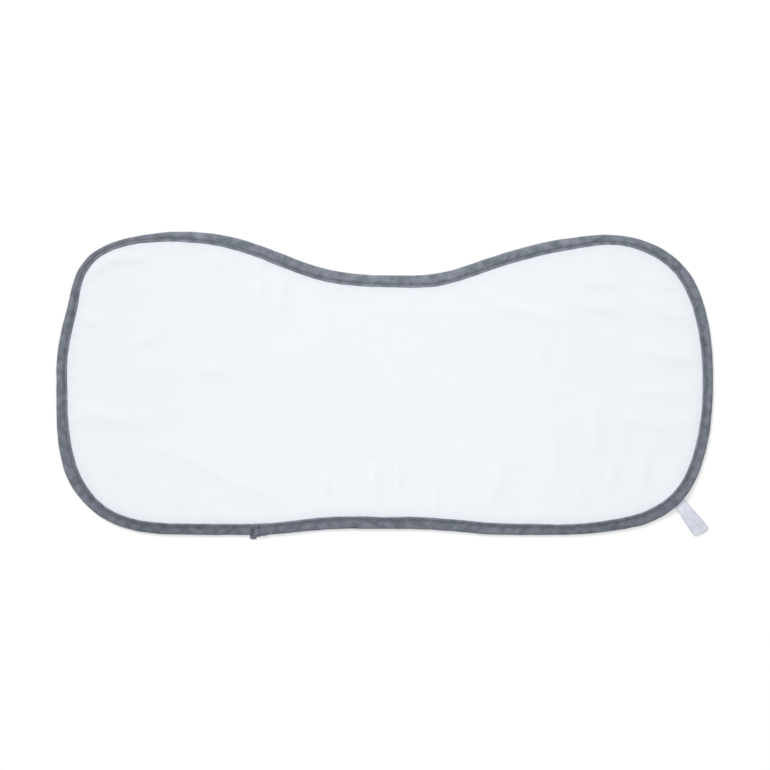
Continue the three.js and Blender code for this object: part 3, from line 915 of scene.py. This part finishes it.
lapSetup = {
    "starts": -15,         # where the upper layer begins to rise
    "startsUnder": 0.08,   # how far it lies under the strip's face there
    "raisedBy": -8.5,
    "ends": -0.6,          # its folded end
    "step": 0.4,
    "endSteps": 7,
    "thick": 0.75,
    "bump": 0.22,          # over the end of the layer below
    "bumpPlace": -9.2,
    "bumpHalf": 1.8,
    "rim": 0.22,           # the folded end stands a little prouder
    "rimHalf": 0.9,
    "rounding": 0.5,
    "buried": 0.2,
    "overhang": 0.3,       # how far it stands out past the layer below at its inner edge
    "overhangSpan": (0.05, 0.6),  # the rise in which it comes to that
    "foldFades": 60,       # degrees below the outermost of the fold where its rise has faded
    "shares": (1.0, 0.94, 0.86, 0.78, 0.68, 0.56, 0.44, 0.33, 0.22),  # places across the strip
    "foldAngles": (115, 140, 165, 190, 212),
    "corner": [(-6.2, -1.6), (-6.2, 1.0), (-5.6, 1.5), (-2.8, 1.6), (-2.5, 2.9), (-2.1, 3.4),
               (2.0, 3.5), (2.5, 3.0), (2.6, -1.6)],
    "cornerThick": 1.25,
    "cornerUnder": 0.12,
    "cornerBevel": 0.36,
    "cornerDroop": 0.09,   # lower by this for each millimetre outwards
}


def makeLap(setup):
    coarse = np.arange(setup["starts"], setup["ends"] - setup["rounding"], setup["step"])
    turns = np.linspace(0, math.pi / 2, setup["endSteps"])
    fine = setup["ends"] - setup["rounding"] * (1 - np.sin(turns))
    offsets = np.concatenate([coarse, fine])
    along = clothEdge.cornerAlong + offsets * mm
    point, inward, width, lift = clothEdge.at(along)
    width = width / mm
    under = setup["startsUnder"]
    raised = -under + (setup["thick"] + under) * ease(offsets, setup["starts"], setup["raisedBy"])
    raised += setup["bump"] * mound(offsets, setup["bumpPlace"], setup["bumpHalf"])
    raised += setup["rim"] * mound(offsets, setup["ends"], setup["rimHalf"])
    past = np.clip((offsets - setup["ends"]) / setup["rounding"] + 1, 0, 1)
    raised *= np.sqrt(np.clip(1 - past ** 2, 0.01, 1))
    ripple = ripplesAt(along)
    over = setup["overhang"] * ease(raised, *setup["overhangSpan"])
    upper, lower = [], []
    for share in setup["shares"]:
        inset = width * share
        height = bindingTopHeight(inset, width, ripple)
        beyond = over if share == 1.0 else 0 * over
        upper.append((inset + beyond, height + raised - 2 * beyond))
        lower.append((inset - beyond, height - setup["buried"]))
    for angle in setup["foldAngles"]:
        cosine, sine, inset, height = foldPlace(angle)
        outwards = raised * math.sqrt(max(math.sin(math.radians(angle - setup["foldFades"])), 0))
        upper.append((inset + outwards * cosine, height + outwards * sine))
        buried = setup["buried"] + 0 * width
        lower.append((inset + buried, height - buried * sine))
    section = upper + lower[::-1]
    rows = [np.column_stack([point + inward * (inset * mm)[:, None], height * mm + lift])
            for inset, height in section]
    return sweptPiece("bindingLap", np.stack(rows, axis=1), along, section)


def makeCorner(setup):
    # the turned-under corner, a flat fold of the strip with soft edges
    outline = []
    for offset, out in setup["corner"]:
        point, inward, _, _ = clothEdge.at(clothEdge.cornerAlong + offset * mm)
        outline.append((*(point - inward * out * mm), setup["cornerUnder"] * mm))
    piece = makePiece("turnedCorner", outline, [tuple(range(len(outline)))])
    if piece.data.polygons[0].normal.z < 0:
        piece.data.flip_normals()
    selectOnly(piece)
    bpy.ops.object.mode_set(mode="EDIT")
    bpy.ops.mesh.select_all(action="SELECT")
    upwards = (0, 0, setup["cornerThick"] * mm)
    bpy.ops.mesh.extrude_region_move(TRANSFORM_OT_translate={"value": upwards})
    bpy.ops.mesh.select_all(action="SELECT")
    bpy.ops.mesh.normals_make_consistent(inside=False)
    bpy.ops.mesh.bevel(offset=setup["cornerBevel"] * mm, segments=4, affect="EDGES")
    bpy.ops.object.mode_set(mode="OBJECT")
    middle = clothEdge.at(clothEdge.cornerAlong)[0]
    layer = piece.data.uv_layers.new(name="alongEdge")
    for loop in piece.data.loops:
        spot = piece.data.vertices[loop.vertex_index].co
        layer.data[loop.index].uv = (spot.x, spot.y)
    for vertex in piece.data.vertices:
        outwards = max(middle[1] - vertex.co.y, 0)
        if vertex.co.z > (setup["cornerUnder"] + setup["cornerThick"] / 2) * mm:
            vertex.co.z -= outwards * setup["cornerDroop"]
    piece.data.shade_smooth()
    return piece


# The stitching along the binding's inner edge

stitchSetup = {
    "pitch": 3.05,         # mm
    "long": 2.5,
    "radius": 0.19,
    "sides": 6,
    "rings": (0.0, 0.1, 0.3, 0.5, 0.7, 0.9, 1.0),
    "endShape": 4,         # the higher, the closer to its ends a stitch dips and thins
    "endSection": 0.12,    # share of its section that is left at its very ends
    "uneven": 0.12,        # how far a stitch strays along the seam
    "dip": 0.25,           # how far its ends go into the cloth
    "aboveFace": 0.1,
    "underneath": 0.22,    # height of the lower thread
    "lapEdge": 0.3,        # how gently the thread steps down at the end of the lap
}


def makeStitching(setup, name, heightOf, dipWay):
    count = round(clothEdge.length / mm / setup["pitch"])
    rng = np.random.default_rng(4)
    starts = np.arange(count) * clothEdge.length / count
    starts = starts + rng.uniform(-setup["uneven"], setup["uneven"], count) * mm
    sides = setup["sides"]
    turns = np.linspace(0, 2 * math.pi, sides, endpoint=False)
    shares = np.array(setup["rings"])
    endwards = (np.abs(shares - 0.5) * 2) ** setup["endShape"]
    dip = endwards * setup["dip"] * mm
    radius = setup["radius"] * mm * np.sqrt(np.clip(1 - endwards, setup["endSection"], 1))
    points, faces = [], []
    for start in starts:
        along = start + shares * setup["long"] * mm
        spot, inward, width, lift = clothEdge.at(along)
        inset = width / mm - bindingSetup["stitchLine"]
        height = heightOf(inset, width / mm, along) * mm + lift
        base = len(points)
        for r in range(len(shares)):
            middle = spot[r] + inward[r] * inset[r] * mm
            for turn in turns:
                side = inward[r] * math.cos(turn) * radius[r]
                up = math.sin(turn) * radius[r]
                points.append((middle[0] + side[0], middle[1] + side[1], height[r] + up - dip[r] * dipWay))
        for a in range(base, len(points) - sides, sides):
            b = a + sides
            faces += [(a + j, a + (j + 1) % sides, b + (j + 1) % sides, b + j) for j in range(sides)]
        for end in (base, len(points) - sides):
            faces.append(tuple(end + j for j in range(sides)))
    return makePiece(name, points, faces)


def upperThreadHeight(inset, width, along):
    offset = (along - clothEdge.cornerAlong) / mm
    onLap = ease(offset, lapSetup["starts"], lapSetup["raisedBy"])
    soft = stitchSetup["lapEdge"]
    onLap = onLap * (1 - ease(offset, lapSetup["ends"] - soft, lapSetup["ends"] + soft))
    face = bindingTopHeight(inset, width, 0 * inset)
    return face + stitchSetup["aboveFace"] + lapSetup["thick"] * onLap


def lowerThreadHeight(inset, width, along):
    return np.full_like(inset, stitchSetup["underneath"])


bindingLook = {
    "dark": (0.093, 0.106, 0.135),
    "light": (0.172, 0.188, 0.226),
    "lilac": (0.160, 0.160, 0.220),
    "teal": (0.100, 0.130, 0.138),
    "worn": (0.235, 0.252, 0.292),
    "tintShare": 0.55,
    "pinholeShare": 0.3,
    "roughness": 0.9,
    "sheen": 0.1,
    "cutSlant": 45,        # degrees of the weave to the strip
    "fleckScale": 1300.0,
    "patchScale": 185.0,
    "patchSlant": -25,     # degrees
    "tintScale": 100.0,
    "tintTurn": 0.7,
    "threadsPerMetre": 2300.0,
    "threadWaver": 0.4,
    "streakAlong": 0.3,
    "fuzzShare": 0.4,
    "weaveDepth": 0.1 * mm,
    "weaveStrength": 0.7,
}

# Where the strip is lighter or darker than elsewhere, as mottle spots and as painted light and shade: place
# and reach in millimetres, and how much.
bindingTonesAndPaintedLight = {
    # painted light on the upper side (neck and lobe tops) and painted shade along the lower side (the
    # bottom rows)
    "neck": ((10, 88), 95, 0.2),
    "right lobe, top": ((150, 118), 60, 0.11),
    "left lobe, top": ((-160, 122), 60, 0.14),
    "top left corner": ((-240, 100), 28, -0.05),
    "bottom left": ((-180, -118), 80, -0.24),
    "bottom middle": ((0, -118), 90, -0.14),
    "bottom right": ((180, -118), 80, -0.21),
    "neck, light patch": ((-12.5, 83), 5, 0.2),
    "neck, right patch": ((54.5, 88), 6, 0.16),
    "left lobe, light patch": ((-149, 120), 4, 0.16),
    "right side, dark spot": ((258, 32), 4, -0.24),
    "right side, lower spot": ((262, -22), 4, -0.2),
    # painted shade in the crevice at the lap's seam and beside its wrinkle, and a painted highlight on its
    # folded rim
    "lap, seam shade, upper": ((-106.4, -116.2), 1.5, -0.46),
    "lap, seam shade, lower": ((-106.8, -119.2), 1.5, -0.46),
    "lap, folded rim highlight, upper": ((-103.6, -115.6), 1.4, 0.28),
    "lap, folded rim highlight, lower": ((-103.6, -119.2), 1.4, 0.22),
    "lap, wrinkle shade, upper": ((-101.8, -114.6), 1.4, -0.36),
    "lap, wrinkle shade, lower": ((-100.6, -120.8), 1.7, -0.3),
    "lap, light patch": ((-114.4, -117.8), 2.8, 0.16),
    "lap, dark patch": ((-117.5, -116.6), 2.2, -0.2),
}
stitchShade = {
    "amount": 0.24,        # painted shade: how much darker the strip is in the groove where the stitching draws it in
    "half": 1.3,
    "outerRise": 0.08,     # painted light: how much lighter at the rounded outer edge, and at the inner one
    "innerRise": 0.34,
    "innerHalf": 1.1,
}


def toneOf(points):
    # how light the strip is at each point, next to its usual tone: mottle spots, painted light and shade,
    # painted shade in the stitching's groove and painted light at its edges
    shade = stitchShade
    tone = np.ones(len(points))
    for place, reach, gain in bindingTonesAndPaintedLight.values():
        tone += gain * mound(gapsTo(points / mm, place), 0, reach)
    tree = treeOf(clothEdge.points)
    found = [tree.find((x, y, 0)) for x, y in points]
    inset = np.array([gap for _, _, gap in found]) / mm
    width = clothEdge.width[[station for _, station, _ in found]] / mm
    # painted shade in the stitching's groove, and painted light on the rounded edges
    grooveShadeAndEdgeLight = -shade["amount"] * mound(inset, width - bindingSetup["stitchLine"], shade["half"])
    grooveShadeAndEdgeLight += shade["innerRise"] * mound(inset, width, shade["innerHalf"])
    return tone + shade["outerRise"] * (1 - inset / width) + grooveShadeAndEdgeLight * stitchMark(width)


def heatherMaterial(look):
    material, tree, shader, place = startMaterial("greyHeather", look)
    along = place["UV"]
    spot = turnedVector(tree, along, math.radians(look["cutSlant"]), (1, 1, 1))
    weave = placeGroup(tree, weaveGroup, spot, Threads=look["threadsPerMetre"], Waver=look["threadWaver"])
    yarn = placeGroup(tree, yarnGroup, spot, AlongScale=look["streakAlong"])
    flecks = noiseNode(tree, turnedVector(tree, spot, 0, (0.45, 1, 1)), look["fleckScale"], 2.0, 0.6)
    slanted = turnedVector(tree, along, math.radians(look["patchSlant"]), (0.75, 1, 1))
    patches = noiseNode(tree, slanted, look["patchScale"], 1.5)
    turned = turnedVector(tree, along, look["tintTurn"], (0.6, 1, 1))
    tints = noiseNode(tree, turned, look["tintScale"], 1.0)
    colour = layColours(tree, look["dark"], look, [(flecks, (0.34, 0.66, 0.0, 1.0), "light")])
    tint = layColours(tree, look["teal"], look, [(tints, (0.4, 0.6, 0.0, 1.0), "lilac")])
    colour = layColours(tree, mixNode(tree, look["tintShare"], colour, tint), look, [
        (patches, (0.34, 0.5, 0.66, 0.0), "dark"),
        (patches, (0.44, 0.66, 0.07, 0.52), "worn"),
        (yarn["Slub"], (0.45, 0.75, 0.0, 0.25), "worn"),
    ])
    colour = mixNode(tree, timesNode(tree, weave["Pinholes"], look["pinholeShare"]), colour, look["dark"])
    # the tone carries mottle spots and painted light and shade
    colour = scaledVector(tree, colour, attributeNode(tree, "tone"))
    feed(tree, shader["Base Color"], colour)
    height = mathNode(tree, "MULTIPLY_ADD", yarn["Fuzz"], look["fuzzShare"], weave["Height"])
    feed(tree, shader["Normal"], bumpNode(tree, height, look["weaveDepth"], look["weaveStrength"]))
    return material


threadLook = {
    "dark": (0.08, 0.09, 0.115),
    "light": (0.17, 0.185, 0.22),
    "roughness": 0.6,
    "sheen": 0.1,
    "streakAlong": 0.3,
    "fuzzShare": 0.3,      # how far the fuzz lightens it
    "pliesPerMetre": 1500.0,
    "plyDepth": 0.05 * mm,
    "plyStrength": 0.5,
    "plyContrast": 0.7,
    "leastLight": 0.15,
}


def threadMaterial(look):
    material, tree, shader, place = startMaterial("greyThread", look)
    spot = place["Object"]
    yarn = placeGroup(tree, yarnGroup, spot, AlongScale=look["streakAlong"])
    values = {"Vector": spot, "Scale": look["pliesPerMetre"] / 2}
    ply = addNode(tree, "TexWave", values, bands_direction="DIAGONAL")["Fac"]
    lit = mathNode(tree, "MULTIPLY_ADD", ply, look["plyContrast"], look["leastLight"])
    colour = mixNode(tree, lit, look["dark"], look["light"])
    colour = mixNode(tree, timesNode(tree, yarn["Fuzz"], look["fuzzShare"]), colour, look["light"])
    feed(tree, shader["Base Color"], colour)
    feed(tree, shader["Normal"], bumpNode(tree, ply, look["plyDepth"], look["plyStrength"]))
    return material


greyBinding = makeBinding(bindingSetup)
bindingLap = makeLap(lapSetup)
turnedCorner = makeCorner(lapSetup)
upperStitching = makeStitching(stitchSetup, "upperStitching", upperThreadHeight, 1)
lowerStitching = makeStitching(stitchSetup, "lowerStitching", lowerThreadHeight, -1)
heather = heatherMaterial(bindingLook)
greyThread = threadMaterial(threadLook)
for piece, finish in ((greyBinding, heather), (bindingLap, heather), (turnedCorner, heather),
                      (upperStitching, greyThread), (lowerStitching, greyThread)):
    piece.data.materials.append(finish)
    # the tone holds mottle spots and painted light and shade
    paintAttribute(piece, "tone", toneOf(cornersOf(piece)[:, :2]))
print(f"binding: {len(greyBinding.data.vertices)} points, "
      f"{len(upperStitching.data.polygons)} thread faces on each side")


# The care label, a ribbon folded in two

labelSetup = {
    "heading": -54,        # degrees from +X
    "reach": 29.8,         # mm past the binding, along its middle
    "fabric": 0.22,
    "rootHeight": 0.9,
    "bulge": 1.5,
    "bulgeLean": 0.62,     # below 1, the bulge stands nearer to the binding
    "bulgeShape": 1.4,
    "cup": 0.48,           # how much higher the middle is than the sides, at the end
    "curl": 0.5,
    "curlFrom": 0.2,       # share of the width, right of its middle, where the left side's curl begins
    "acrossSteps": 16,
    "lengthSteps": 44,
    "foldSteps": 10,
    "root": 7.5,           # mm held under the binding
    "rootWidth": 9.6,
    "endWidth": 13.4,
    "endSlant": 2.0,       # how much further the right corner reaches
    "endRound": 1.6,       # how much further its middle reaches
    "endLean": 0.5,        # how far it bends to the right
    "endDepth": 5.0,       # how much of the node's end its middle is read from
    "weaveAcross": 12.0,   # mm of its weave from side to side
}


def ribbonLine(setup):
    # the ribbon's middle seen from its edge, as (along, height, share of the upper layer) in millimetres:
    # out along the table, round, and back on top
    half = setup["fabric"] / 2
    middleZ = setup["rootHeight"] / 2
    radius = middleZ - half
    foldCentre = setup["reach"] - radius - half
    lowAlong = np.linspace(-setup["root"], foldCentre, setup["lengthSteps"])
    turns = np.linspace(-math.pi / 2, math.pi / 2, setup["foldSteps"] + 2)[1:-1]
    line = [(a, half, 0.0) for a in lowAlong]
    for turn in turns:
        place = foldCentre + radius * math.cos(turn), middleZ + radius * math.sin(turn)
        line.append((*place, 0.5 + turn / math.pi))
    return line + [(a, setup["rootHeight"] - half, 1.0) for a in lowAlong[::-1]]


def makeLabel(setup):
    corners = cornersOf(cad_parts["care_label"])[:, :2]
    heading = math.radians(setup["heading"])
    out = np.array([math.cos(heading), math.sin(heading)])
    side = np.array([-out[1], out[0]])
    reach, cornerSides = corners @ out, corners @ side
    atEnd = reach > reach.max() - setup["endDepth"] * mm
    middle = (cornerSides[atEnd].min() + cornerSides[atEnd].max()) / 2
    exitAlong = reach.min() + setup["root"] * mm
    line = ribbonLine(setup)
    columns = setup["acrossSteps"] + 1
    shares = np.linspace(-0.5, 0.5, columns)
    points, lengths = [], []
    travelled = 0.0
    for place, (along, height, upper) in enumerate(line):
        if place:
            travelled += math.hypot(along - line[place - 1][0], height - line[place - 1][1]) * mm
        lengths.append(travelled)
        shareOut = min(max(along / setup["reach"], 0), 1)
        width = setup["rootWidth"] + (setup["endWidth"] - setup["rootWidth"]) * ease(shareOut, 0, 1)
        raised = math.sin(math.pi * shareOut ** setup["bulgeLean"]) ** setup["bulgeShape"]
        bulge = upper * setup["bulge"] * raised
        for share in shares:
            cup = setup["cup"] * upper * shareOut * (1 - (2 * share) ** 2)
            curl = setup["curl"] * shareOut ** 2 * max(setup["curlFrom"] - share, 0)
            slanted = along + setup["endSlant"] * share * shareOut ** 2
            slanted += setup["endRound"] * (0.5 - (2 * share) ** 4) * shareOut ** 3
            sideways = share * width + setup["endLean"] * shareOut ** 2
            spot = out * (exitAlong + slanted * mm) + side * (middle + sideways * mm)
            points.append((*spot, (height + bulge + cup + curl) * mm))

    faces, uv = [], []
    across = shares * setup["weaveAcross"] * mm
    for row, (u0, u1) in enumerate(zip(lengths, lengths[1:])):
        for column, (v0, v1) in enumerate(zip(across, across[1:])):
            a = row * columns + column
            faces.append((a, a + 1, a + columns + 1, a + columns))
            uv += [(u0, v0), (u0, v1), (u1, v1), (u1, v0)]
    piece = makePiece("careRibbon", points, faces, uv)
    selectOnly(piece)
    thickness = piece.modifiers.new("ribbonThickness", "SOLIDIFY")
    thickness.thickness = setup["fabric"] * mm
    thickness.offset = 0
    bpy.ops.object.modifier_apply(modifier=thickness.name)
    piece.data.shade_smooth()
    return piece, travelled


ribbonLook = {
    "face": (0.655, 0.672, 0.745),
    "shade": (0.53, 0.55, 0.63),
    "roughness": 0.42,
    "sheen": 0.15,
    "threadsPerMetre": 3600.0,
    "threadWaver": 0.2,
    "streakAlong": 0.03,
    "threadDepth": 0.04 * mm,
    "threadStrength": 0.5,
    "lustreScale": 210.0,
    "patchScale": 190.0,
}


def ribbonMaterial(look):
    material, tree, shader, place = startMaterial("whiteSatin", look)
    spot = place["UV"]
    yarn = placeGroup(tree, yarnGroup, spot, AlongScale=look["streakAlong"])
    drawnOut = turnedVector(tree, spot, 0, (0.35, 1, 1))
    weave = placeGroup(tree, weaveGroup, drawnOut, Threads=look["threadsPerMetre"],
                       Waver=look["threadWaver"])
    lustre = noiseNode(tree, turnedVector(tree, spot, 0, (1, 6, 1)), look["lustreScale"], 2.0)
    patches = noiseNode(tree, spot, look["patchScale"], 2.0)
    colour = layColours(tree, look["face"], look, [
        (lustre, (0.3, 0.7, 0.0, 0.6), "shade"),
        (patches, (0.4, 0.62, 0.0, 0.55), "shade"),
    ])
    feed(tree, shader["Base Color"], colour)
    feed(tree, shader["Roughness"], spanNode(tree, yarn["Slub"], 0.3, 0.7, 0.34, 0.52))
    bump = bumpNode(tree, weave["Height"], look["threadDepth"], look["threadStrength"])
    feed(tree, shader["Normal"], bump)
    return material


careRibbon, ribbonLength = makeLabel(labelSetup)
careRibbon.data.materials.append(ribbonMaterial(ribbonLook))
print(f"label: {ribbonLength:.4f} m of ribbon")


# The table's finish

tableLook = {
    "light": (0.962, 0.962, 0.962),
    "dim": (0.952, 0.952, 0.952),
    "mottleScale": 3.0,
    "roughness": 0.85,
    "sheen": 0.0,
}


def tableMaterial(look):
    material, tree, shader, place = startMaterial("paleTable", look)
    mottle = noiseNode(tree, place["Object"], look["mottleScale"], 3.0)
    feed(tree, shader["Base Color"], mixNode(tree, mottle, look["dim"], look["light"]))
    return material


table.data.materials.append(tableMaterial(tableLook))


# What each piece rides on, and the imported parts it replaces

bindingPieces = [greyBinding, bindingLap, turnedCorner, upperStitching, lowerStitching]
for piece in (muslinPanel, *bindingPieces, careRibbon):
    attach(piece, "root")
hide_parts("muslin_panel")
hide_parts("edge_binding")
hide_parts("care_label")
